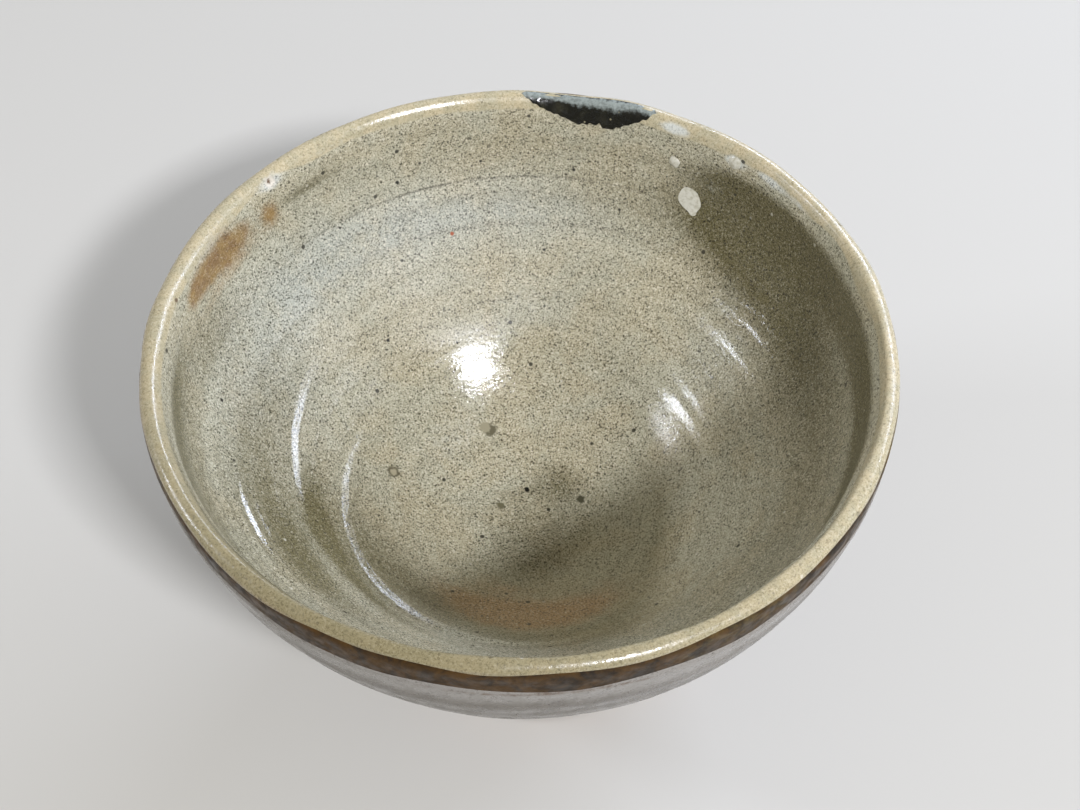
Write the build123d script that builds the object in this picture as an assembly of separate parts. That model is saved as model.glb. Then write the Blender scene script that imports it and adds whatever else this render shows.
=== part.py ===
"""Matcha bowl: a thrown stoneware tea bowl with a foot ring, its glaze coats and a lacquer mend.

Millimetres.  The origin is on the floor at the centre of the foot and +Z is up.
The mended stretch of the rim is on the +Y side, and +X is to the right of it.
"""
import os
from math import cos, radians, sin

from build123d import *

# rim and height
BOWL_H = 72.0           # top of the lip
LIP_R = 59.9            # radius of the lip's crest

# inside wall, from the lip down to the edge of the tea pool: radius, height
INSIDE_WALL = [(57.9, 70.0), (57.3, 63.0), (54.9, 55.0), (50.3, 48.4), (44.6, 42.3),
               (36.2, 32.5), (25.6, 22.6), (14.0, 16.2)]
POOL_EDGE = (10.5, 14.9)
POOL_Z = 14.4           # middle of the floor

# outside wall, from under the lip down to the foot: radius, height
OUTSIDE_WALL = [(62.0, 70.0), (61.4, 62.5), (58.9, 53.0), (54.4, 43.0), (49.8, 34.0),
                (44.9, 26.0), (39.8, 19.5), (34.6, 13.0), (32.4, 9.0)]

# foot ring
FOOT_TOP_Z = 8.0        # where the ring is joined to the body
FOOT_OUT_R = 33.4       # outer radius on the floor
FOOT_TOP_R = 32.0       # outer radius at the joint
FOOT_IN_R = 26.2        # inner radius on the floor
FOOT_IN_TOP_R = 24.6    # inner radius at the joint
FOOT_EDGE = 1.0         # softened edges of the ring's face
RECESS_Z = 6.6          # underside of the body inside the ring

# coats of glaze
GLAZE_T = 0.5
LIP_COAT_Z = 68.2       # lower edge of the lip's own coat, inside and outside
IRON_LOW_Z = 64.4       # lower edge of the iron band outside
GLAZE_END_Z = 10.4      # the outside glaze stops here, above the foot

# throwing grooves round the inside
GROOVE_Z = [55.1, 42.3, 32.5]
GROOVE_R = 1.6          # radius of the rounded groove
GROOVE_DEPTH = 0.22

# mended chip on the inside of the lip
CHIP_DEG = 78.0         # direction of its middle, seen from above
CHIP_R, CHIP_Z = 57.6, 71.8
CHIP_HALF = (14.0, 3.1, 5.4)    # along the rim, into the wall, down the wall
LACQUER_T = 0.45

# white drops of glaze on the inside wall: direction, height, radius, thickness
DROPS = [(60.4, 64.2, 1.1, 0.45), (55.6, 57.6, 2.2, 0.30), (48.5, 67.0, 1.6, 0.35)]

SAMPLES = 24            # points along a curve that follows another at a coat's depth


def face_of(*lines):
    """Face in the section plane inside the closed outline that the lines make."""
    return Face(Wire([edge for line in lines for edge in line.edges()]))


def slab(z0, z1):
    """Wide strip of the section plane between two heights."""
    return face_of(Polyline((0, 0, z0), (100, 0, z0), (100, 0, z1), (0, 0, z1), close=True))


def turned(*faces):
    """Solid of revolution of the faces about the bowl's axis."""
    return revolve(Sketch() + list(faces), Axis.Z, 360).solids()[0]


def sunk(line, depth, side):
    """Curve lying a coat's depth under the given curve; side is the sign of its clay side."""
    points = []
    for i in range(SAMPLES + 1):
        along = line % (i / SAMPLES)
        points.append((line @ (i / SAMPLES)) + Vector(along.Z, 0, -along.X) * depth * side)
    return Spline(points)


def inside_lines():
    """Inside wall and tea pool as two curves of the half section."""
    wall = Spline([(r, 0, z) for r, z in INSIDE_WALL])
    pool = Spline(wall @ 1, (POOL_EDGE[0], 0, POOL_EDGE[1]), (0, 0, POOL_Z),
                  tangents=(wall % 1, (-1, 0, 0)))
    return wall, pool


def bowl_face(depth=0):
    """Half section through the wall without the foot ring, a coat's depth under its surface."""
    wall, pool = inside_lines()
    outside = Spline([(r, 0, z) for r, z in OUTSIDE_WALL])
    lip = Spline(wall @ 0, (LIP_R, 0, BOWL_H), outside @ 0,
                 tangents=((wall % 0) * -1, outside % 0))
    trimmed = [outside @ 1]
    if depth:
        wall, pool = sunk(wall, depth, -1), sunk(pool, depth, -1)
        lip, outside = sunk(lip, depth, 1), sunk(outside, depth, 1)
        trimmed.insert(0, outside @ 1)
    under = Polyline(*trimmed, (FOOT_TOP_R, 0, FOOT_TOP_Z), (FOOT_IN_TOP_R, 0, FOOT_TOP_Z),
                     (FOOT_IN_TOP_R - 1.2, 0, RECESS_Z), (0, 0, RECESS_Z))
    return face_of(wall, pool, Line(pool @ 1, under @ 1), under, outside, lip)


def hollow():
    """The space inside the bowl, up to the start of the lip."""
    wall, pool = inside_lines()
    top = Line((0, 0, INSIDE_WALL[0][1]), wall @ 0)
    return turned(face_of(wall, pool, Line(pool @ 1, top @ 0), top))


def foot_ring():
    """Ring luted to the underside, with a slightly flared outside and softened edges."""
    ring = Polyline((FOOT_IN_TOP_R, 0, FOOT_TOP_Z), (FOOT_TOP_R, 0, FOOT_TOP_Z),
                    (FOOT_OUT_R, 0, FOOT_EDGE), (FOOT_OUT_R - FOOT_EDGE, 0, 0),
                    (FOOT_IN_R + FOOT_EDGE, 0, 0), (FOOT_IN_R, 0, FOOT_EDGE), close=True)
    return turned(face_of(ring))


def wall_point(z):
    """Point of the inside wall at a height, and the direction from it into the bowl."""
    wall, _ = inside_lines()
    cut = wall.edge().intersect(Plane.XY.offset(z))
    point = cut.vertices()[0].center() if hasattr(cut, "vertices") else Vector(cut)
    along = wall.edge().tangent_at(wall.edge().param_at_point(point))
    return point, Vector(along.Z, 0, -along.X)


def grooves():
    """Rings that press the throwing grooves into the inside coat."""
    rings = []
    for z in GROOVE_Z:
        point, inward = wall_point(z)
        centre = point + inward * (GROOVE_R - GROOVE_DEPTH)
        rings.append(Pos(0, 0, centre.Z) * Torus(centre.X, GROOVE_R))
    return rings


def chip():
    """Shell-shaped chip on the inside of the lip, taken as a flattened ball."""
    ball = scale(Sphere(1), by=CHIP_HALF)
    turn = radians(CHIP_DEG)
    return (Pos(CHIP_R * cos(turn), CHIP_R * sin(turn), CHIP_Z)
            * Rot(0, 0, CHIP_DEG - 90) * ball)


def drop(direction, z, radius, height, space):
    """Low dome of glaze standing on the inside wall."""
    ball_r = (radius ** 2 + height ** 2) / (2 * height)
    point, inward = wall_point(z)
    centre = point - inward * (ball_r - height)
    return (Rot(0, 0, direction) * Pos(*centre) * Sphere(ball_r)) & space


def build():
    """Every node of the bowl as a name and a shape."""
    whole = bowl_face()
    clay = bowl_face(GLAZE_T)
    coat = whole - clay
    lip = coat & slab(LIP_COAT_Z, BOWL_H + 1)
    below = (coat & slab(0, LIP_COAT_Z)).faces().sort_by(lambda f: f.bounding_box().min.X)
    inside, outside = below[0], below[-1]

    ball = chip()
    mend = (turned(whole) & ball).solids()[0]
    under_lacquer = turned(bowl_face(LACQUER_T))
    inside_coat = turned(inside) - grooves() - ball
    space = hollow()
    return {
        "clay_body": turned(clay) - ball,
        "foot_ring": foot_ring(),
        "inside_glaze": inside_coat,
        "lip_glaze": turned(lip.faces()[0]) - ball,
        "iron_band": turned((outside & slab(IRON_LOW_Z, LIP_COAT_Z)).faces()[0]),
        "outside_glaze": turned((outside & slab(GLAZE_END_Z, IRON_LOW_Z)).faces()[0]),
        "mend_filler": mend & under_lacquer,
        "mend_lacquer": mend - under_lacquer,
        "white_drops": Compound([s for d in DROPS for s in drop(*d, space).solids()]),
    }


os.makedirs("parts", exist_ok=True)
for name, shape in build().items():
    export_step(shape, f"parts/{name}.step")
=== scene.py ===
"""Looks of a thrown, ash-glazed matcha bowl with a lacquer mend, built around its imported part.

The row frame is in metres: origin on the floor under the middle of the foot, +Z up, and the
mended stretch of the rim on the +Y side.  Shapes are worked out in millimetres and turned to
metres when they become meshes.  Directions are in degrees, anticlockwise from +X seen from above.
"""

import logging
import math
from dataclasses import dataclass, field
from enum import Enum

import bmesh
import bpy
import numpy as np
from mathutils import Matrix, Vector

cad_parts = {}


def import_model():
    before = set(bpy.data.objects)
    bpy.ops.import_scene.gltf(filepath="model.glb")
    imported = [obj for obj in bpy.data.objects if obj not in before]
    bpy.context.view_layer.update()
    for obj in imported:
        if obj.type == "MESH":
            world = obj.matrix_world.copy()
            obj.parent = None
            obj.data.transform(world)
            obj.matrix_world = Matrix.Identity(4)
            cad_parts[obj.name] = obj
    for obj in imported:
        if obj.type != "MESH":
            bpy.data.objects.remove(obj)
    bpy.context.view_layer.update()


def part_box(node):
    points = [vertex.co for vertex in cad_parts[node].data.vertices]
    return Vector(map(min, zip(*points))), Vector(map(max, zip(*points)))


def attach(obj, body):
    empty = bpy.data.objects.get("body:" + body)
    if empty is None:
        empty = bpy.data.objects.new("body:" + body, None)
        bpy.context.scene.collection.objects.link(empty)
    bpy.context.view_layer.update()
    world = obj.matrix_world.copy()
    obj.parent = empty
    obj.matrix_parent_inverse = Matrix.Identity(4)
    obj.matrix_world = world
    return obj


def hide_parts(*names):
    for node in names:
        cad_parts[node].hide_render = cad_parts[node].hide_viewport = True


LOG = logging.getLogger("matcha_bowl")
MM = 0.001
Grid = np.ndarray


# --------------------------------------------------------------------------- small maths


def smooth(low: float, high: float, value: Grid) -> Grid:
    """Eased step: 0 at low, 1 at high, 3t^2 - 2t^3 between them."""
    t = np.clip((value - low) / (high - low), 0.0, 1.0)
    return t * t * (3.0 - 2.0 * t)


def bump(value: Grid, centre: float, width: float) -> Grid:
    """Bell curve exp(-(x - centre)^2 / width^2)."""
    return np.exp(-(((value - centre) / width) ** 2))


def turn_gap(degrees: Grid, centre: float) -> Grid:
    """Signed angle from centre to each direction, wrapped to -180..180 degrees."""
    return (degrees - centre + 180.0) % 360.0 - 180.0


@dataclass(frozen=True)
class Ripple:
    """Smooth random waves round and along the wall, the same on every run.

    Attributes:
        seed: Start of the random draw.
        round_waves: Highest number of waves in one turn.
        along_mm: Shortest wavelength along the wall.
        terms: How many waves are summed.
    """

    seed: int
    round_waves: int
    along_mm: float
    terms: int = 24

    def at(self, degrees: Grid, along: Grid) -> Grid:
        """Sum of sin(m * turn + k * along + phase), scaled to about -1..1.

        Args:
            degrees: Directions round the bowl.
            along: Distances along the section in millimetres.

        Returns:
            The waves' height at each point.
        """
        draw = np.random.default_rng(self.seed)
        m = draw.integers(0, self.round_waves + 1, self.terms)
        k = draw.uniform(-1.0, 1.0, self.terms) * 2.0 * np.pi / self.along_mm
        phase = draw.uniform(0.0, 2.0 * np.pi, self.terms)
        turn = np.radians(degrees)[..., None]
        waves = np.sin(turn * m + np.asarray(along)[..., None] * k + phase)
        return waves.sum(-1) / math.sqrt(self.terms)


class Curve:
    """Smooth curve through points of the half section, read by its length from the first point."""

    SAMPLES = 6000

    def __init__(self, points: list[tuple[float, float]], start: int = 0) -> None:
        """Cubic spline on the root of chord length with natural ends, resampled finely.

        Args:
            points: Radius and height of each point, in millimetres.
            start: Index of the point where the length is counted from.
        """
        p = np.array(points, float)
        knots = np.r_[0.0, np.cumsum(np.sqrt(np.hypot(*np.diff(p, axis=0).T)))]
        fine = np.linspace(knots[start], knots[-1], self.SAMPLES)
        self.rz = self._spline(knots, p, fine)
        step = np.hypot(*np.diff(self.rz, axis=0).T)
        self.along = np.r_[0.0, np.cumsum(step)]
        slope = np.gradient(self.rz, self.along, axis=0)
        slope /= np.hypot(*slope.T)[:, None]
        self.out = np.c_[-slope[:, 1], slope[:, 0]]

    @staticmethod
    def _spline(knots: Grid, p: Grid, fine: Grid) -> Grid:
        """Natural cubic spline: solve for the second derivatives, then blend the two ends of each span.

        Args:
            knots: Parameter of each point.
            p: The points, one row each.
            fine: Parameters to read.

        Returns:
            The curve's points at the fine parameters.
        """
        n, gap = len(knots), np.diff(knots)
        system, right = np.eye(n), np.zeros((n, 2))
        for i in range(1, n - 1):
            system[i, i - 1 : i + 2] = gap[i - 1], 2 * (gap[i - 1] + gap[i]), gap[i]
            right[i] = 6 * ((p[i + 1] - p[i]) / gap[i] - (p[i] - p[i - 1]) / gap[i - 1])
        bend = np.linalg.solve(system, right)
        i = np.clip(np.searchsorted(knots, fine) - 1, 0, n - 2)
        h = gap[i][:, None]
        a, b = (knots[i + 1] - fine)[:, None] / h, (fine - knots[i])[:, None] / h
        ends = a * p[i] + b * p[i + 1]
        return ends + ((a**3 - a) * bend[i] + (b**3 - b) * bend[i + 1]) * h**2 / 6

    def point(self, along: Grid) -> tuple[Grid, Grid]:
        """Radius and height at a length along the curve."""
        return tuple(np.interp(along, self.along, self.rz[:, k]) for k in (0, 1))

    def facing(self, along: Grid) -> tuple[Grid, Grid]:
        """Radial and vertical parts of the outward direction at a length along the curve."""
        return tuple(np.interp(along, self.along, self.out[:, k]) for k in (0, 1))

    def length_at(self, height: float, inside: bool) -> float:
        """Length along the curve where it passes a height, on its inside or its outside.

        Args:
            height: Height in millimetres.
            inside: Whether the inside is meant.

        Returns:
            Length along the curve in millimetres.
        """
        crest = int(np.argmax(self.rz[:, 1]))
        part = slice(0, crest) if inside else slice(crest, None)
        z, s = self.rz[part, 1], self.along[part]
        order = np.argsort(z)
        return float(np.interp(height, z[order], s[order]))


# --------------------------------------------------------------------------- the thrown form


@dataclass
class ThrownForm:
    """The bowl's section and the ways in which the hand-made form strays from a lathe-true one.

    Attributes:
        height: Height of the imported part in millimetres.
        inside: Radius and height of points from left of the axis over the floor up to the crest.
        outside: Radius and height of points from the crest down to the foot.
        lean_foot: Shift of the foot to the right in millimetres.
        lean_rim: Shift of the rim to the right in millimetres.
        thinned: Most that the lip is thinner than drawn, in millimetres.
    """

    height: float
    inside: list[tuple[float, float]] = field(default_factory=lambda: [
        (-14.0, 16.2), (-10.5, 14.9), (0.0, 14.4), (10.5, 14.9), (14.0, 16.2), (25.6, 22.6), (36.4, 32.3),
        (44.8, 42.1), (50.2, 48.6), (54.5, 55.2), (56.6, 61.0), (57.5, 66.5), (58.0, 69.8), (58.7, 71.4)])
    outside: list[tuple[float, float]] = field(default_factory=lambda: [
        (59.9, 72.0), (61.2, 71.5), (62.0, 70.2), (61.9, 67.5), (61.4, 62.5), (58.9, 53.0), (54.4, 43.0),
        (49.8, 34.0), (44.9, 26.0), (39.8, 19.5), (34.6, 13.0), (32.4, 9.0)])
    lean_foot: float = 1.0
    lean_rim: float = -0.6
    thinned: float = 1.0

    def __post_init__(self) -> None:
        """Build the section curve, counted from the middle of the floor."""
        self.curve = Curve(self.inside + self.outside, start=2)
        self.crest = float(self.curve.along[int(np.argmax(self.curve.rz[:, 1]))])
        self.end = float(self.curve.along[-1])
        self.wobble = Ripple(11, 4, 400.0, 8)
        self.rim_wave = Ripple(12, 11, 400.0, 12)

    def place(self, degrees: Grid, along: Grid, lift: Grid) -> Grid:
        """Points of the form: section point plus lift along the section's outward direction.

        Args:
            degrees: Directions round the bowl.
            along: Lengths along the section in millimetres.
            lift: Height over the nominal surface in millimetres.

        Returns:
            Positions in millimetres, with a last axis of three.
        """
        r, z = self.curve.point(along)
        out_r, out_z = self.curve.facing(along)
        lift = lift - self.shaved(degrees, along)
        return self.warp(degrees, r + out_r * lift, z + out_z * lift)

    def shaved(self, degrees: Grid, along: Grid) -> Grid:
        """How much thinner the lip is than drawn, taken off its inside: most at the front and right.

        Args:
            degrees: Directions round the bowl.
            along: Lengths along the section in millimetres.

        Returns:
            Depth taken off at each point, in millimetres.
        """
        front = bump(turn_gap(degrees, 285.0), 0.0, 85.0)
        left = bump(turn_gap(degrees, 180.0), 0.0, 40.0)
        lip = bump(along, self.crest - 2.4, 2.3) * smooth(self.crest + 0.2, self.crest - 1.2, along)
        return self.thinned * (0.30 + 0.70 * front - 0.30 * left) * lip

    def warp(self, degrees: Grid, r: Grid, z: Grid) -> Grid:
        """Turn section points round the axis, slightly out of round, waved at the rim and leaning.

        Args:
            degrees: Directions round the bowl.
            r: Radius of each point in millimetres.
            z: Height of each point in millimetres.

        Returns:
            Positions in millimetres, with a last axis of three.
        """
        share = np.clip(z / self.height, 0.0, 1.1)
        r = r * (1.0 + 0.0028 * share * self.wobble.at(degrees, 0.0 * z))
        z = z + 0.30 * share**4 * self.rim_wave.at(degrees, 0.0 * z)
        turn = np.radians(degrees)
        shift = self.lean_foot + (self.lean_rim - self.lean_foot) * share
        return np.stack([r * np.cos(turn) + shift, r * np.sin(turn), z], -1)


# --------------------------------------------------------------------------- meshes


def mesh_object(name: str, points: Grid, faces: list[list[int]], values: dict[str, Grid]) -> bpy.types.Object:
    """Smooth-shaded object at the origin from points in millimetres.

    Args:
        name: The piece's name.
        points: Vertex positions, one row each.
        faces: Vertex numbers of each face, anticlockwise from outside.
        values: Named float attributes, one value for each vertex.

    Returns:
        The linked object.
    """
    mesh = bpy.data.meshes.new(name)
    mesh.from_pydata((points * MM).tolist(), [], faces)
    mesh.polygons.foreach_set("use_smooth", np.ones(len(mesh.polygons), bool))
    for key, value in values.items():
        layer = mesh.attributes.new(key, "FLOAT", "POINT")
        layer.data.foreach_set("value", np.asarray(value, np.float32).ravel())
    mesh.update()
    mesh.validate()
    piece = bpy.data.objects.new(name, mesh)
    bpy.context.scene.collection.objects.link(piece)
    return piece


def grid_faces(rows: int, columns: int, wrap_rows: bool, wrap_columns: bool = True) -> Grid:
    """Quads between neighbouring rows and columns of a grid whose vertices run row by row.

    Args:
        rows: Rows of the grid.
        columns: Columns of the grid.
        wrap_rows: Whether the last row meets the first.
        wrap_columns: Whether the last column meets the first.

    Returns:
        Four vertex numbers for each face.
    """
    i = np.arange(rows if wrap_rows else rows - 1)[:, None]
    j = np.arange(columns if wrap_columns else columns - 1)[None, :]
    below, right = (i + 1) % rows, (j + 1) % columns
    quad = [i * columns + j, below * columns + j, below * columns + right, i * columns + right]
    return np.stack([np.broadcast_to(q, (i.size, j.size)) for q in quad], -1).reshape(-1, 4)


def ring_object(name: str, grid: Grid, values: dict[str, Grid]) -> bpy.types.Object:
    """Closed ring from a grid whose rows go round its section and whose columns go round the bowl."""
    rows, columns = grid.shape[:2]
    return mesh_object(name, grid.reshape(-1, 3), grid_faces(rows, columns, True).tolist(), values)


def shell_object(name: str, grid: Grid, values: dict[str, Grid]) -> bpy.types.Object:
    """Closed shell from a grid whose first and last rows meet the axis, each closed by a fan.

    Args:
        name: The piece's name.
        grid: Positions in millimetres, rows by columns by three.
        values: Named values at each point of the grid.

    Returns:
        The linked object.
    """
    rows, columns = grid.shape[:2]
    poles = np.stack([grid[0].mean(0), grid[-1].mean(0)])
    points = np.concatenate([grid.reshape(-1, 3), poles])
    j = np.arange(columns)
    k, last, first_pole = (j + 1) % columns, (rows - 1) * columns, rows * columns
    start = np.stack([np.full(columns, first_pole), j, k], -1)
    end = np.stack([np.full(columns, first_pole + 1), last + k, last + j], -1)
    faces = grid_faces(rows, columns, False).tolist() + start.tolist() + end.tolist()
    full = {key: np.r_[v.ravel(), v[0].mean(), v[-1].mean()] for key, v in values.items()}
    return mesh_object(name, points, faces, full)


# --------------------------------------------------------------------------- materials


def linear(code: str) -> tuple[float, float, float, float]:
    """sRGB hex colour as linear RGBA.

    Args:
        code: The colour, such as #a3805c.

    Returns:
        Red, green, blue and an alpha of 1.
    """
    parts = [int(code.lstrip("#")[i : i + 2], 16) / 255.0 for i in (0, 2, 4)]
    r, g, b = (c / 12.92 if c <= 0.04045 else ((c + 0.055) / 1.055) ** 2.4 for c in parts)
    return r, g, b, 1.0


def add(tree: bpy.types.NodeTree, kind: str, links: dict | None = None, **settings: object) -> bpy.types.Node:
    """Add a shader node with its settings and its inputs.

    Args:
        tree: The material's node tree.
        kind: The node's type without "ShaderNode".
        links: Input name or number to a socket to link, or a constant to set.
        **settings: The node's own properties.

    Returns:
        The new node.
    """
    made = tree.nodes.new("ShaderNode" + kind)
    for key, value in settings.items():
        setattr(made, key, value)
    for key, value in (links or {}).items():
        if isinstance(value, bpy.types.NodeSocket):
            tree.links.new(value, made.inputs[key])
        else:
            made.inputs[key].default_value = value
    return made


class Blend(Enum):
    """How a second colour is laid over a first."""

    MIX = "MIX"
    MULTIPLY = "MULTIPLY"


class Paint:
    """A material being built: it keeps the tree, the object coordinates and the colour so far."""

    def __init__(self, name: str) -> None:
        """Start an empty node material that reads Object coordinates."""
        self.material = bpy.data.materials.new(name)
        self.material.use_nodes = True
        self.tree = self.material.node_tree
        self.tree.nodes.clear()
        self.where = add(self.tree, "TexCoord").outputs["Object"]

    def noise(self, size_mm: float, detail: float = 2.0, rough: float = 0.5,
              warp: float = 0.0) -> bpy.types.NodeSocket:
        """Cloudy pattern whose patches are about size_mm across, from 0 to 1."""
        made = add(self.tree, "TexNoise", {"Vector": self.where, "Scale": 1.0 / (size_mm * MM),
                                           "Detail": detail, "Roughness": rough, "Distortion": warp})
        return made.outputs["Fac"]

    def ramp(self, value: bpy.types.NodeSocket, low: float, high: float, out_low: float = 0.0,
             out_high: float = 1.0) -> bpy.types.NodeSocket:
        """Value stretched so that low..high becomes out_low..out_high, held beyond them and eased."""
        made = add(self.tree, "MapRange", {0: value, 1: low, 2: high, 3: out_low, 4: out_high},
                   interpolation_type="SMOOTHSTEP")
        return made.outputs[0]

    def math(self, kind: str, a: object, b: object = 0.0) -> bpy.types.NodeSocket:
        """One arithmetic step on two values."""
        return add(self.tree, "Math", {0: a, 1: b}, operation=kind).outputs[0]

    def value(self, name: str) -> bpy.types.NodeSocket:
        """The piece's own float attribute of that name."""
        return add(self.tree, "Attribute", attribute_name=name).outputs["Fac"]

    def frayed(self, name: str, pattern: bpy.types.NodeSocket, share: float) -> bpy.types.NodeSocket:
        """The piece's own value of that name, its edge broken up by a share of a pattern."""
        return self.math("ADD", self.value(name), self.math("MULTIPLY", pattern, share))

    def mix(self, share: object, first: object, second: object,
            how: Blend = Blend.MIX) -> bpy.types.NodeSocket:
        """Colour first with second laid over it by share."""
        made = add(self.tree, "Mix", {0: share, 6: first, 7: second}, data_type="RGBA", blend_type=how.value)
        return made.outputs[2]

    def specks(self, cell_mm: float, size: float, share: float, soft: float = 0.06) -> bpy.types.NodeSocket:
        """Round specks scattered one to a cell: 1 inside a speck, 0 outside.

        Args:
            cell_mm: Mean spacing of the cells.
            size: Radius of a speck as a share of its cell.
            share: Part of the cells that hold a speck.
            soft: Width of a speck's edge as a share of its cell.

        Returns:
            The specks' mask.
        """
        cells = add(self.tree, "TexVoronoi", {"Vector": self.where, "Scale": 1.0 / (cell_mm * MM)})
        pick = add(self.tree, "SeparateColor", {0: cells.outputs["Color"]})
        inside = self.ramp(cells.outputs["Distance"], size, size + soft, 1.0, 0.0)
        chosen = self.ramp(pick.outputs[0], share, share + 0.02, 1.0, 0.0)
        return self.math("MULTIPLY", inside, chosen)

    def spot(self, place: Vector, radius_mm: float) -> bpy.types.NodeSocket:
        """Ragged spot round a place in metres: 1 inside, 0 outside.

        Args:
            place: Middle of the spot.
            radius_mm: Its radius in millimetres.

        Returns:
            The spot's mask.
        """
        away = add(self.tree, "VectorMath", {0: self.where, 1: place}, operation="DISTANCE").outputs["Value"]
        ragged = self.math("MULTIPLY", self.noise(0.7, 3.0, 0.6), radius_mm * MM * 1.2)
        return self.ramp(self.math("ADD", away, ragged), radius_mm * MM * 1.2, radius_mm * MM * 1.7, 1.0, 0.0)

    def bumped(self, height: bpy.types.NodeSocket, depth_mm: float,
               below: bpy.types.NodeSocket | None = None) -> bpy.types.NodeSocket:
        """Normal tilted by a height pattern of the given depth, over an earlier normal.

        Args:
            height: The pattern.
            depth_mm: Its depth in millimetres.
            below: The earlier normal, if there is one.

        Returns:
            The new normal.
        """
        links = {"Height": height, "Distance": depth_mm * MM, "Strength": 1.0}
        if below is not None:
            links["Normal"] = below
        return add(self.tree, "Bump", links).outputs[0]

    def finish(self, **sockets: object) -> bpy.types.Material:
        """Close the material with a Principled shader whose sockets are given by name.

        Args:
            **sockets: Socket names with underscores for spaces, each with a socket or a constant.

        Returns:
            The finished material.
        """
        named = {key.replace("_", " "): value for key, value in sockets.items()}
        shader = add(self.tree, "BsdfPrincipled", named)
        add(self.tree, "OutputMaterial", {0: shader.outputs[0]})
        return self.material


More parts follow.
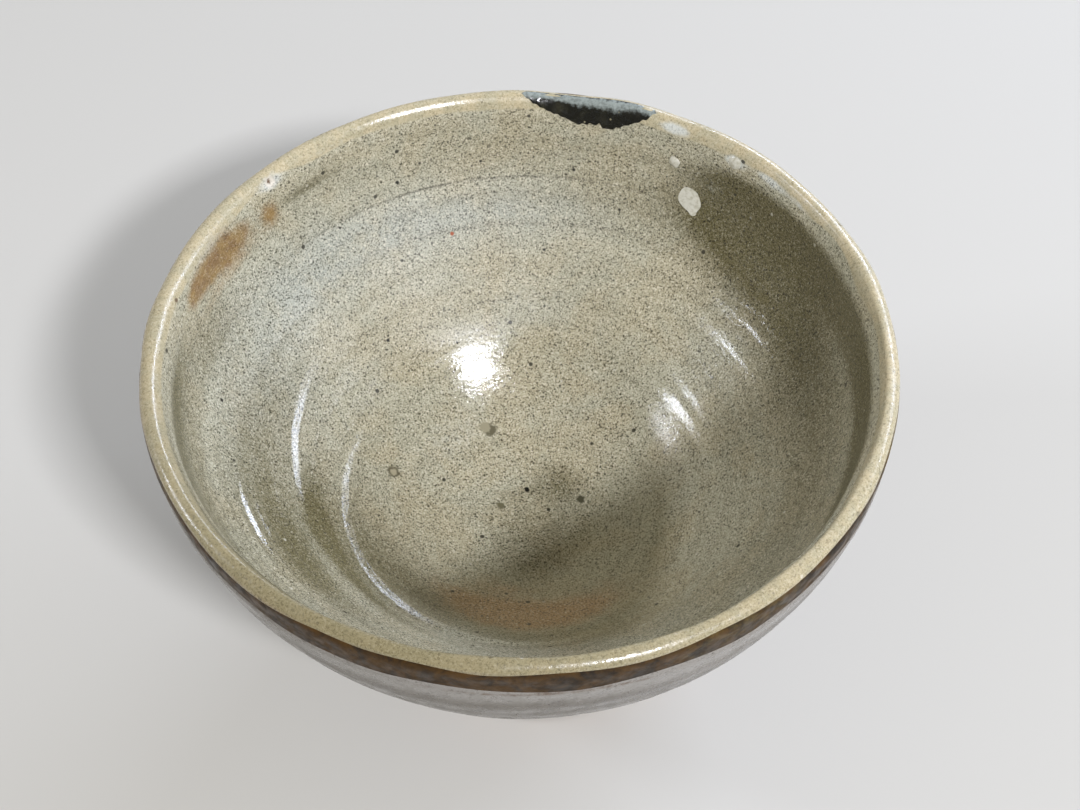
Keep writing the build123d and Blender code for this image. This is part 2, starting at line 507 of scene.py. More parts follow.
@dataclass(frozen=True)
class AshGlaze:
    """Wood-ash glaze fired on grey stoneware: glossy, and full of ash specks and pale grains.

    The surface is glossy with a faint orange-peel, and rougher where the dry layer says so.
    """

    name: str
    base: str = "#b7b49f"
    cool: str = "#b2b5ab"
    warm: str = "#bab298"
    olive: str = "#615a3b"
    rust: str = "#7d582a"
    tan: str = "#c2986a"
    straw: str = "#c5b898"
    pale_straw: str = "#b6ae92"
    dull_straw_and_shade: str = "#7a704f"
    pale_rust: str = "#94743f"
    groove: str = "#4c493b"
    dark_ash: str = "#514c3b"
    pale_ash: str = "#e9e3d2"
    pale_grain: str = "#e9e6da"
    milk: str = "#d4d7d2"
    soot: str = "#2c2a22"
    line_pitch: float = 1.3
    roughness: float = 0.10

    def material(self, marks: list[tuple[Vector, "Mark"]]) -> bpy.types.Material:
        """Layered colour, fine grain, specks and single marks under a clear gloss.

        Args:
            marks: Each single mark with its place in metres.

        Returns:
            The node material.
        """
        p = Paint(self.name)
        clouds = p.ramp(p.noise(14.0, 4.0, 0.6, 0.6), 0.38, 0.62)
        colour = p.mix(clouds, linear(self.base), linear(self.warm))
        cool = p.math("MULTIPLY", p.value("cool"), p.ramp(p.noise(5.0, 3.0, 0.6), 0.3, 0.6, 0.55, 1.0))
        colour = p.mix(cool, colour, linear(self.cool))
        rings = p.ramp(p.value("rings"), -1.0, 1.0, 0.0, 1.0)
        colour = p.mix(p.math("MULTIPLY", rings, 0.16), colour, linear(self.olive))

        line = p.math("MULTIPLY", p.value("line"), p.ramp(p.noise(2.4, 4.0, 0.7), 0.38, 0.58, 0.25, 1.0))
        colour = p.mix(line, colour, linear(self.groove))
        stain = p.ramp(p.frayed("stain", p.noise(3.0, 4.0, 0.65), 0.6), 0.35, 1.3)
        colour = p.mix(p.math("MULTIPLY", stain, 0.75), colour, linear(self.tan))
        edge = p.noise(1.6, 4.0, 0.7)
        # olive tone of the glaze together with painted shade, where the olive layer marks it
        olive = p.ramp(p.frayed("olive", edge, 0.5), 0.35, 1.25)
        colour = p.mix(olive, colour, linear(self.olive))
        lip = p.ramp(p.frayed("lip", edge, 0.7), 0.62, 1.02)
        straw = p.mix(p.ramp(p.noise(3.2, 4.0, 0.6), 0.35, 0.65), linear(self.straw), linear(self.pale_straw))
        # painted shade: the lip's straw is dulled where the olive layer lies, most round the front
        straw = p.mix(p.math("MULTIPLY", p.value("olive"), 0.8), straw, linear(self.dull_straw_and_shade))
        colour = p.mix(lip, colour, straw)
        # milk: milky glaze on the lip, and a painted light patch on the floor
        milk = p.ramp(p.frayed("milk", edge, 0.6), 0.55, 1.2)
        colour = p.mix(milk, colour, linear(self.milk))
        rust = p.ramp(p.frayed("rust", edge, 0.6), 0.52, 1.35)
        burnt = p.mix(p.ramp(p.noise(2.2, 4.0, 0.65), 0.35, 0.65), linear(self.rust), linear(self.pale_rust))
        colour = p.mix(p.math("MULTIPLY", rust, 0.88), colour, burnt)

        # ash grain: squiggles about 0.3 mm wide, dark and pale, quieter on the lip and in the rust
        grain = p.noise(0.33, 2.0, 0.75, 0.7)
        quiet = p.math("SUBTRACT", 1.0, p.math("MULTIPLY", p.math("MAXIMUM", lip, rust), 0.58))
        dark = p.math("MULTIPLY", p.ramp(grain, 0.49, 0.35), quiet)
        colour = p.mix(dark, colour, linear(self.dark_ash), Blend.MULTIPLY)
        light = p.math("MULTIPLY", p.ramp(grain, 0.53, 0.68), quiet)
        light = p.math("MULTIPLY", light, p.math("SUBTRACT", 0.7, p.math("MULTIPLY", olive, 0.45)))
        colour = p.mix(light, colour, linear(self.pale_ash))

        # iron specks, 0.4 to 0.7 mm across, and rare pale grains
        fine = p.math("MULTIPLY", p.specks(1.1, 0.16, 0.30), quiet)
        colour = p.mix(p.math("MULTIPLY", fine, 0.75), colour, linear(self.soot))
        coarse = p.math("MULTIPLY", p.specks(4.2, 0.085, 0.22, 0.03), quiet)
        colour = p.mix(p.math("MULTIPLY", coarse, 0.9), colour, linear(self.soot))
        pale = p.specks(3.4, 0.07, 0.15, 0.04)
        colour = p.mix(p.math("MULTIPLY", pale, 0.4), colour, linear(self.pale_grain))
        for place, mark in marks:
            colour = p.mix(p.spot(place, mark.radius), colour, linear(mark.colour))

        # fine turning lines, wavering and fading in and out
        phase = p.math("ADD", p.math("MULTIPLY", p.value("section"), 2.0 * math.pi / self.line_pitch),
                       p.math("MULTIPLY", p.noise(9.0, 2.0, 0.5), 14.0))
        lines = p.math("MULTIPLY", p.math("SINE", phase), p.ramp(p.noise(12.0, 2.0, 0.5), 0.45, 0.65))
        normal = p.bumped(lines, 0.003)
        normal = p.bumped(p.noise(1.0, 3.0, 0.65), 0.068, normal)
        normal = p.bumped(grain, 0.014, normal)
        rough = p.ramp(p.noise(2.5, 3.0, 0.6), 0.3, 0.7, self.roughness * 0.7, self.roughness * 1.4)
        rough = p.math("ADD", rough, p.math("MULTIPLY", p.value("dry"), 0.50))
        return p.finish(Base_Color=colour, Roughness=rough, IOR=1.5, Normal=normal, Specular_IOR_Level=0.6)


@dataclass(frozen=True)
class WhitishGlazeInPaintedShade:
    """Thin white slip glaze on the outside: satin to glossy, with fine pinholes, its colours painted darker
    than its own milky grey as shade.
    """

    name: str
    # painted shade: base, deep and milk are darker than the glaze's own whitish grey, for the shade the
    # outside lies in
    base: str = "#69635b"
    deep: str = "#514a42"
    milk: str = "#8d8984"
    iron: str = "#54391c"
    shade: str = "#7d7468"
    pinhole: str = "#38302a"
    roughness: float = 0.24

    def material(self) -> bpy.types.Material:
        """Milky clouds, with iron showing where the coat is thin.

        Returns:
            The node material.
        """
        p = Paint(self.name)
        clouds = p.ramp(p.noise(11.0, 4.0, 0.6, 0.5), 0.35, 0.68)
        colour = p.mix(clouds, linear(self.base), linear(self.deep))
        milk = p.ramp(p.frayed("milk", p.noise(2.0, 4.0, 0.65), 0.7), 0.6, 1.3)
        colour = p.mix(milk, colour, linear(self.milk))
        iron = p.ramp(p.frayed("iron", p.noise(1.5, 5.0, 0.7), 0.9), 0.85, 1.25)
        colour = p.mix(iron, colour, linear(self.iron))
        grain = p.noise(0.5, 3.0, 0.75, 0.6)
        colour = p.mix(p.ramp(grain, 0.48, 0.32, 0.0, 0.5), colour, linear(self.shade), Blend.MULTIPLY)
        fine = p.specks(1.4, 0.13, 0.22)
        colour = p.mix(p.math("MULTIPLY", fine, 0.55), colour, linear(self.pinhole))
        normal = p.bumped(p.noise(1.3, 3.0, 0.6), 0.04)
        normal = p.bumped(p.specks(1.9, 0.10, 0.3), -0.05, normal)
        rough = p.ramp(p.noise(3.0, 3.0, 0.6), 0.3, 0.7, self.roughness * 0.75, self.roughness * 1.4)
        return p.finish(Base_Color=colour, Roughness=rough, IOR=1.5, Normal=normal)


@dataclass(frozen=True)
class IronWash:
    """Brushed iron oxide fired under a thin ash coat: rust brown, broken and glossy."""

    name: str
    dark: str = "#1f1405"
    rust: str = "#4a320c"
    thin: str = "#6b5c34"
    speck: str = "#221508"
    roughness: float = 0.42

    def material(self) -> bpy.types.Material:
        """Two browns broken by ash where the wash is thin.

        Returns:
            The node material.
        """
        p = Paint(self.name)
        clouds = p.ramp(p.noise(3.5, 5.0, 0.65, 0.8), 0.35, 0.65)
        colour = p.mix(clouds, linear(self.rust), linear(self.dark))
        thin = p.ramp(p.frayed("thin", p.noise(1.8, 5.0, 0.7), 0.8), 0.62, 1.1)
        colour = p.mix(thin, colour, linear(self.thin))
        fine = p.specks(1.2, 0.15, 0.3)
        colour = p.mix(p.math("MULTIPLY", fine, 0.6), colour, linear(self.speck))
        normal = p.bumped(p.noise(1.0, 3.0, 0.65), 0.04)
        rough = p.ramp(p.noise(2.0, 3.0, 0.6), 0.3, 0.7, self.roughness * 0.8, self.roughness * 1.5)
        return p.finish(Base_Color=colour, Roughness=rough, IOR=1.5, Normal=normal, Specular_IOR_Level=0.25)


@dataclass(frozen=True)
class BareClay:
    """Fired stoneware clay left bare: matt, sandy, with trimming scratches and iron specks."""

    name: str
    base: str = "#a3805c"
    deep: str = "#75563a"
    hollow: str = "#7c6a58"
    iron_speck: str = "#2c1f16"
    pale_speck: str = "#cbb79a"
    roughness: float = 0.82

    def material(self) -> bpy.types.Material:
        """Warm brown clay with 0.5 mm sand grains.

        Returns:
            The node material.
        """
        p = Paint(self.name)
        colour = p.mix(p.ramp(p.noise(7.0, 5.0, 0.65), 0.35, 0.65), linear(self.base), linear(self.deep))
        sand = p.noise(0.55, 3.0, 0.8)
        colour = p.mix(p.ramp(sand, 0.55, 0.35, 0.0, 0.7), colour, linear(self.hollow), Blend.MULTIPLY)
        colour = p.mix(p.math("MULTIPLY", p.specks(2.0, 0.13, 0.35), 0.7), colour, linear(self.iron_speck))
        colour = p.mix(p.math("MULTIPLY", p.specks(1.7, 0.12, 0.25), 0.6), colour, linear(self.pale_speck))
        normal = p.bumped(sand, 0.14)
        normal = p.bumped(p.specks(2.4, 0.12, 0.4), -0.12, normal)
        rough = p.ramp(sand, 0.3, 0.7, self.roughness * 0.9, self.roughness * 1.1)
        return p.finish(Base_Color=colour, Roughness=rough, IOR=1.5, Normal=normal)


@dataclass(frozen=True)
class Lacquer:
    """Black tree lacquer rubbed over a paste fill: deep black, with a broken bluish painted reflection near
    the crest.
    """

    name: str
    black: str = "#0c0d0b"
    rubbed: str = "#2b2a20"
    painted_reflection: str = "#98a19f"
    dust: str = "#a39c80"
    painted_reflection_share: float = 1.0
    roughness: float = 0.16

    def material(self) -> bpy.types.Material:
        """Near-black with brown where it is rubbed thin, and a painted reflection in the upper half.

        Returns:
            The node material.
        """
        p = Paint(self.name)
        colour = p.mix(p.ramp(p.noise(2.2, 4.0, 0.65), 0.45, 0.75), linear(self.black), linear(self.rubbed))
        # painted reflection: a broken bluish band in the upper half of the lacquer, placed by the low value
        torn = p.math("MULTIPLY", p.math("SUBTRACT", p.noise(1.1, 4.0, 0.7), 0.5), 0.5)
        low = p.math("ADD", p.value("low"), torn)
        band = p.math("MULTIPLY", p.ramp(low, 0.0, 0.12), p.ramp(low, 0.48, 0.26))
        band = p.math("MULTIPLY", band, p.ramp(p.noise(0.8, 3.0, 0.7), 0.25, 0.6, 0.45, 1.0))
        colour = p.mix(p.math("MULTIPLY", band, self.painted_reflection_share), colour, linear(self.painted_reflection))
        colour = p.mix(p.math("MULTIPLY", p.specks(1.3, 0.12, 0.3), 0.6), colour, linear(self.dust))
        normal = p.bumped(p.noise(1.4, 3.0, 0.6), 0.09)
        rough = p.ramp(p.noise(1.2, 3.0, 0.6), 0.3, 0.7, self.roughness * 0.7, self.roughness * 2.2)
        return p.finish(Base_Color=colour, Roughness=rough, IOR=1.54, Normal=normal)


@dataclass(frozen=True)
class MilkGlaze:
    """Splashed white glaze: opaque milky drops, very glossy."""

    name: str
    base: str = "#d3d1c5"
    edge: str = "#b7b3a1"
    roughness: float = 0.12

    def material(self) -> bpy.types.Material:
        """White with a faint warm mottling.

        Returns:
            The node material.
        """
        p = Paint(self.name)
        colour = p.mix(p.ramp(p.noise(0.8, 3.0, 0.6), 0.4, 0.7), linear(self.base), linear(self.edge))
        normal = p.bumped(p.noise(0.7, 2.0, 0.6), 0.02)
        return p.finish(Base_Color=colour, Roughness=self.roughness, IOR=1.5, Normal=normal)


@dataclass(frozen=True)
class StudioPaper:
    """Plain matt paper of the studio floor."""

    name: str
    base: str = "#c6c4bf"

    def material(self) -> bpy.types.Material:
        """Even pale grey."""
        return Paint(self.name).finish(Base_Color=linear(self.base), Roughness=0.9)


# --------------------------------------------------------------------------- coats on the form


@dataclass(frozen=True)
class Patch:
    """A soft-edged patch on the inside: where it is, how large, and how strong.

    Attributes:
        direction: Degrees round the bowl.
        height: Height of its middle on the inside wall, in millimetres.
        wide: Half width round the bowl, in millimetres.
        tall: Half height along the section, in millimetres.
        strength: Value at the middle.
        slant: Rise along the section for each millimetre round the bowl.
    """

    direction: float
    height: float
    wide: float
    tall: float
    strength: float = 1.0
    slant: float = 0.0


def patched(form: ThrownForm, patches: list[Patch], degrees: Grid, along: Grid) -> Grid:
    """Sum of the patches' bell curves exp(-(x / wide)^2 - (y / tall)^2), each round its own middle.

    Args:
        form: The form they lie on.
        patches: The patches.
        degrees: Directions round the bowl.
        along: Lengths along the section in millimetres.

    Returns:
        The sum at each point.
    """
    total = np.zeros(np.broadcast(degrees, along).shape)
    radius, _ = form.curve.point(along)
    for p in patches:
        across = np.radians(turn_gap(degrees, p.direction)) * radius
        up = along - form.curve.length_at(p.height, True) - p.slant * across
        total += p.strength * np.exp(-((across / p.wide) ** 2) - (up / p.tall) ** 2)
    return total


@dataclass(frozen=True)
class Chip:
    """The chip broken out of the inside of the lip, which the mend fills.

    Attributes:
        outline: Direction and depth down the wall from the crest, point by point.
        into_wall: How deep it goes into the wall, in millimetres.
        over_crest: How far it reaches past the crest, in millimetres.
    """

    outline: tuple[tuple[float, float], ...] = (
        (65.4, 0.0), (67.6, 2.2), (73.2, 5.4), (75.2, 5.9), (75.9, 4.5), (76.4, 5.4),
        (80.4, 5.6), (85.6, 3.6), (88.4, 2.0), (90.6, 0.0))
    into_wall: float = 1.7
    over_crest: float = 0.35

    def drop(self, degrees: Grid) -> Grid:
        """Depth of the chip's lower edge below the crest at each direction, straight between points."""
        where, deep = zip(*self.outline)
        return np.interp(degrees, where, deep, left=0.0, right=0.0)

    def hollow(self, form: ThrownForm, degrees: Grid, along: Grid) -> Grid:
        """Depth of the broken hollow under the nominal surface, eased in over its outline.

        Args:
            form: The form it is broken out of.
            degrees: Directions round the bowl.
            along: Lengths along the section in millimetres.

        Returns:
            Depth at each point, in millimetres.
        """
        low = self.drop(degrees) - (form.crest - along)
        margin = np.minimum(low, form.crest + self.over_crest - along)
        return self.into_wall * smooth(0.5, 1.6, margin) * (self.drop(degrees) > 0.05)


@dataclass
class Relief:
    """Throwing marks, grooves and burst bubbles that the inside surface carries, as lift in millimetres.

    Attributes:
        form: The form they lie on.
        chip: The chip broken out of them.
        pitch: Climb of the throwing spiral in one turn.
        ridge: Height of the spiral's ridges.
        groove_heights: Heights of the fine groove, the shallow one and the ledge.
        ledges: Middle and half spread in degrees, height, climb per degree, step and least step of each.
        bubbles: Direction, height, radius and rim height of each burst bubble.
        pool_height: Height of the tea pool's edge.
        stroke_height: Height of the middle of the fine finger ridges.
        stroke_pitch: Distance between two of them.
        stroke_lift: Their lift for each radian of the wave.
    """

    form: ThrownForm
    chip: Chip
    pitch: float = 5.4
    ridge: float = 0.055
    groove_heights: tuple[float, float, float] = (55.6, 42.3, 32.5)
    ledges: tuple[tuple[float, ...], ...] = (
        (222.0, 36.0, 29.6, 0.0, 0.86, 0.14), (183.0, 20.0, 38.2, -0.12, 0.54, 0.0),
        (187.0, 11.0, 34.8, -0.05, 0.44, 0.0), (192.0, 16.0, 42.0, -0.05, 0.40, 0.0),
        (28.0, 14.0, 32.0, 0.06, 0.10, 0.0))
    bubbles: tuple[tuple[float, float, float, float], ...] = (
        (164.8, 23.4, 1.5, 0.13), (95.2, 15.2, 0.7, 0.10), (107.3, 47.5, 0.5, 0.06))
    pool_height: float = 15.9
    stroke_height: float = 49.0
    stroke_pitch: float = 2.9
    stroke_lift: float = 0.19

    def __post_init__(self) -> None:
        """Find the grooves' lengths along the section and set up the random waves."""
        self.grooves = [self.form.curve.length_at(z, True) for z in self.groove_heights]
        self.pool = self.form.curve.length_at(self.pool_height, True)
        self.sway = Ripple(21, 5, 60.0, 16)
        self.lumps = Ripple(22, 26, 9.0, 40)
        self.soft_lumps = Ripple(23, 9, 30.0, 24)
        self.beads = Ripple(24, 22, 26.0, 36)

    def spiral(self, degrees: Grid, along: Grid) -> Grid:
        """Spiral wave of the potter's fingers, -1..1: cos of the length climbed plus a share of a turn.

        Args:
            degrees: Directions round the bowl.
            along: Lengths along the section in millimetres.

        Returns:
            The wave at each point.
        """
        phase = along + self.pitch * degrees / 360.0 + 0.8 * self.sway.at(degrees, along)
        wave = np.cos(2.0 * np.pi * phase / self.pitch)
        return wave + 0.35 * np.cos(4.0 * np.pi * phase / self.pitch + 1.0)

    def surface(self, degrees: Grid, along: Grid) -> Grid:
        """Outer face of the inside glaze and of the lip's bead, before the chip broke out.

        Spiral ridges, a fine groove high up, a shallow one half way, a ledge low down and the pool's
        edge, with soft lumps; towards the lip they give way to the bead's own lumps.

        Args:
            degrees: Directions round the bowl.
            along: Lengths along the section in millimetres.

        Returns:
            Lift at each point, in millimetres.
        """
        top, middle, floor = self.grooves
        sway = self.sway.at(degrees, along)
        zone = 0.30 + 0.55 * smooth(floor, top, along) + 0.7 * bump(along, floor - 1.0, 7.0)
        left, right = bump(turn_gap(degrees, 195.0), 0.0, 50.0), bump(turn_gap(degrees, 25.0), 0.0, 35.0)
        side = 0.22 + left - 0.12 * right
        total = self.ridge * zone * side * (1.0 + 0.4 * sway) * self.spiral(degrees, along)
        back = 0.35 + 0.65 * bump(turn_gap(degrees, 95.0), 0.0, 60.0)
        total -= 0.06 * back * bump(along, top + 0.5 * sway, 0.45)
        total += 0.06 * back * smooth(top + 1.6, top + 0.2, along) * smooth(top - 9.0, top - 1.0, along)
        total -= 0.10 * bump(along, middle + 0.7 * sway, 1.5)
        total += self.steps(degrees, along) + self.strokes(degrees, along)
        total -= 0.16 * bump(along, self.pool, 1.1)
        calm = smooth(0.0, 12.0, along)
        total += calm * (0.05 * self.soft_lumps.at(degrees, along) + 0.015 * self.lumps.at(degrees, along))
        total += self.craters(degrees, along)
        lip = smooth(self.form.crest - 7.5, self.form.crest - 3.0, along)
        bead = 0.04 + 0.11 * self.beads.at(degrees, along) + 0.05 * self.lumps.at(degrees, along)
        return (1.0 - lip) * total + lip * bead

    def steps(self, degrees: Grid, along: Grid) -> Grid:
        """Steps where the finger lifted: half up before a line, half down after it, even between them.

        Args:
            degrees: Directions round the bowl.
            along: Lengths along the section in millimetres.

        Returns:
            Lift at each point, in millimetres.
        """
        total = 0.0 * along
        for middle, spread, low, climb, tall, least in self.ledges:
            gap = turn_gap(degrees, middle)
            line = self.form.curve.length_at(low, True) + climb * gap + 0.25 * self.sway.at(degrees, along)
            height = least + tall * bump(gap, 0.0, spread)
            ramp = np.clip((line - along) / 1.8, -0.5, 0.5)
            total = total + height * ramp * bump(along, line, 3.0)
        return total

    def strokes(self, degrees: Grid, along: Grid) -> Grid:
        """Fine close finger ridges with even flanks, most on the left front: arcsin of a swaying sine.

        Args:
            degrees: Directions round the bowl.
            along: Lengths along the section in millimetres.

        Returns:
            Lift at each point, in millimetres.
        """
        high = bump(along, self.form.curve.length_at(self.stroke_height, True), 8.0)
        left, right = bump(turn_gap(degrees, 206.0), 0.0, 16.0), bump(turn_gap(degrees, 20.0), 0.0, 14.0)
        where = high * (left + 0.25 * right)
        phase = along + 0.09 * turn_gap(degrees, 207.0) + 0.6 * self.sway.at(degrees, along)
        return self.stroke_lift * where * np.arcsin(0.97 * np.sin(2.0 * np.pi * phase / self.stroke_pitch))

    def craters(self, degrees: Grid, along: Grid) -> Grid:
        """Burst bubbles: a raised rim round a dip, at 1 and 0.6 of each radius.

        Args:
            degrees: Directions round the bowl.
            along: Lengths along the section in millimetres.

        Returns:
            Lift at each point, in millimetres.
        """
        total = 0.0 * along
        radius, _ = self.form.curve.point(along)
        for direction, height, size, rise in self.bubbles:
            across = np.radians(turn_gap(degrees, direction)) * radius
            reach = np.hypot(across, along - self.form.curve.length_at(height, True)) / size
            total = total + rise * (bump(reach, 1.0, 0.32) - 1.5 * smooth(0.85, 0.35, reach))
        return total

    def lift(self, degrees: Grid, along: Grid) -> Grid:
        """The surface with the chip broken out of it."""
        return self.surface(degrees, along) - self.chip.hollow(self.form, degrees, along)


@dataclass
class Stains:
    """Where the inside and the lip change colour, and where shade and light are painted: each named layer is
    a value at every vertex.

    Attributes:
        form: The form they lie on.
        relief: The throwing marks they follow.
        faint_lines: Middle and half spread in degrees, distance from the groove, share of its sway,
            strength and half width of each faint line.
    """

    form: ThrownForm
    relief: Relief
    faint_lines: tuple[tuple[float, ...], ...] = (
        (95.0, 45.0, -9.0, 1.0, 0.35, 0.35), (105.0, 40.0, 5.2, -1.0, 0.30, 0.35),
        (350.0, 70.0, -3.0, 1.0, 0.30, 0.5))

    def layers(self, degrees: Grid, along: Grid) -> dict[str, Grid]:
        """Values of the lip, olive, milk, rust, stain, dry, line, cool, rings and section layers.

        Args:
            degrees: Directions round the bowl.
            along: Lengths along the section in millimetres.

        Returns:
            One array for each layer.
        """
        form = self.form
        edge = Ripple(31, 21, 9.0, 30).at(degrees, along)
        left = bump(turn_gap(degrees, 165.0), 0.0, 75.0)
        start = form.crest - 1.9 - 0.2 * left - 0.8 * bump(turn_gap(degrees, 90.0), 0.0, 45.0)
        lip = smooth(start - 1.3, start + 0.7, along + 0.5 * edge)
        # olive patches: partly the glaze's own olive tone, as in the band under the lip, partly painted shade
        # on the right wall, low on the left and left front walls, and over the pool
        olive = patched(form, [
            Patch(38, 64.6, 17, 3.6, 0.95), Patch(8, 64.0, 22, 4.2, 1.1), Patch(-28, 63.5, 26, 4.5, 1.1),
            Patch(-68, 64.0, 26, 4.0, 0.9), Patch(-110, 64.5, 26, 3.2, 0.7),
            Patch(196, 65.0, 20, 2.4, 0.75),
            Patch(134, 65.6, 9, 1.6, 0.7), Patch(108, 66.5, 14, 1.6, 0.35), Patch(60, 15.3, 6.0, 5.0, 0.5),
            Patch(0, 14.4, 1e3, 13.0, 0.42), Patch(280, 14.6, 9, 7.0, 0.20),
            Patch(226, 23.0, 15, 9.0, 0.40),
            Patch(72, 54.0, 16, 11, 0.34), Patch(24, 52.0, 24, 11, 0.70), Patch(40, 57.5, 15, 8, 0.85),
            Patch(208, 29.0, 22, 9.0, 0.62), Patch(200, 46.0, 26, 12.0, 0.50),
            Patch(168, 44.0, 24, 16.0, 0.30), Patch(-20, 50.0, 34, 15, 0.52),
            Patch(-75, 46.0, 34, 18, 0.36), Patch(48, 58.0, 13, 6, 0.45), Patch(20, 36.0, 20, 9, 0.35),
            Patch(196, 36.0, 9, 2.2, 0.5), Patch(214, 33.8, 18, 2.2, 0.6), Patch(216, 42.0, 15, 6.0, 0.55),
            Patch(192, 61.0, 30, 5.0, 0.45), Patch(228, 58.0, 26, 8.0, 0.5),
            Patch(166, 57.0, 12, 5.0, 0.3)],
            degrees, along)
        milk = patched(form, [
            Patch(61.5, 70.9, 3.2, 1.3, 1.1), Patch(48.5, 69.6, 2.6, 1.2, 1.0),
            Patch(40.5, 70.2, 4.0, 1.0, 0.9),
            Patch(33.0, 70.4, 4.0, 0.9, 0.6), Patch(141.0, 70.6, 3.2, 1.6, 0.7),
            Patch(158.0, 70.4, 14.0, 1.5, 0.45),
            Patch(128.0, 70.6, 9.0, 1.3, 0.4), Patch(52.0, 62.0, 5.0, 3.0, 0.35),
            # painted light: this floor patch lightens where the main lamp falls
            Patch(128.0, 21.0, 14.0, 7.0, 0.42),
            Patch(92.0, 36.0, 16.0, 8.0, 0.36)], degrees, along)
        rust = patched(form, [
            Patch(167.5, 67.2, 3.6, 2.2, 0.85), Patch(162.0, 67.2, 5.0, 3.4, 1.1),
            Patch(155.0, 66.6, 4.4, 4.2, 1.1),
            Patch(149.5, 66.4, 3.0, 3.0, 0.5), Patch(143.4, 65.6, 2.4, 2.8, 0.95),
            Patch(147.0, 62.4, 8.0, 3.0, 0.30)],
            degrees, along)
        stain = patched(form, [
            Patch(246, 21.5, 9, 4.5, 0.9), Patch(268, 21.2, 9, 5.5, 1.1), Patch(296, 22.0, 9, 5.0, 0.8),
            Patch(252, 17.0, 6, 3.0, 0.5), Patch(157, 62.5, 12, 2.0, 0.4)], degrees, along)
        cool = patched(form, [
            Patch(112, 50.5, 24, 6.0, 0.8), Patch(86, 50.0, 16, 5.0, 0.4), Patch(140, 52.0, 20, 8.0, 0.7),
            Patch(168, 46.0, 26, 16.0, 0.6)], degrees, along)
        rings = 0.6 * self.relief.spiral(degrees, along) + 0.5 * Ripple(32, 6, 5.0, 30).at(degrees, along)
        sway = self.relief.sway.at(degrees, along)
        arc = bump(turn_gap(degrees, 108.0), 0.0, 34.0) + 0.35 * bump(turn_gap(degrees, 60.0), 0.0, 30.0)
        groove = self.relief.grooves[0]
        line = 0.8 * arc * bump(along, groove + 0.5 * sway, 0.27)
        for middle, spread, away, drift, strength, width in self.faint_lines:
            where = bump(turn_gap(degrees, middle), 0.0, spread)
            line += strength * where * bump(along, groove + away + drift * sway, width)
        dry = smooth(form.curve.length_at(28.5, True), form.curve.length_at(36.0, True), along)
        dry = dry * bump(turn_gap(degrees, 100.0), 0.0, 42.0) * (1.0 - lip)
        return {"lip": lip, "olive": olive, "milk": milk, "rust": rust, "stain": stain, "dry": dry,
                "line": line, "cool": np.clip(cool, 0, 1), "rings": rings, "section": along}


@dataclass(frozen=True)
class Mark:
    """A small dark or pale spot on the inside wall, in the glaze itself.

    Attributes:
        direction: Degrees round the bowl.
        height: Height on the inside wall in millimetres.
        radius: Radius in millimetres.
        colour: sRGB hex colour.
    """

    direction: float
    height: float
    radius: float
    colour: str = "#211f18"


MARKS = (
    Mark(116.2, 58.2, 0.42), Mark(80.5, 57.5, 0.40), Mark(130.5, 54.8, 0.30), Mark(178.5, 52.2, 0.42),
    Mark(132.9, 36.2, 0.40), Mark(113.3, 31.5, 0.30), Mark(232.6, 20.6, 0.40), Mark(271.2, 22.8, 0.42),
    Mark(311.2, 30.5, 0.45), Mark(332.7, 38.4, 0.45), Mark(93.0, 14.72, 0.62, "#14120e"),
    Mark(107.3, 47.5, 0.40, "#a8552f"), Mark(33.0, 15.3, 0.9, "#4c4a3a"), Mark(136.0, 14.6, 0.9, "#6a6650"),
    Mark(164.8, 23.4, 1.35, "#5a5442"), Mark(164.8, 23.4, 0.85, "#a59e86"), Mark(111.4, 20.0, 1.5, "#67624f"),
    Mark(113.5, 20.4, 1.2, "#9c967f"), Mark(99.0, 59.0, 0.3), Mark(70.0, 52.0, 0.35), Mark(86.0, 44.0, 0.3),
)


LIP_MARKS = (
    Mark(141.0, 70.8, 1.15, "#dcd6ca"), Mark(141.0, 70.8, 0.62, "#6b5644"), Mark(47.0, 70.4, 0.45, "#4b4a44"),
    Mark(172.0, 70.9, 0.5, "#6f5f4c"), Mark(236.0, 71.2, 0.6, "#6a5a42"), Mark(262.0, 71.4, 0.7, "#7a6a4c"),
)


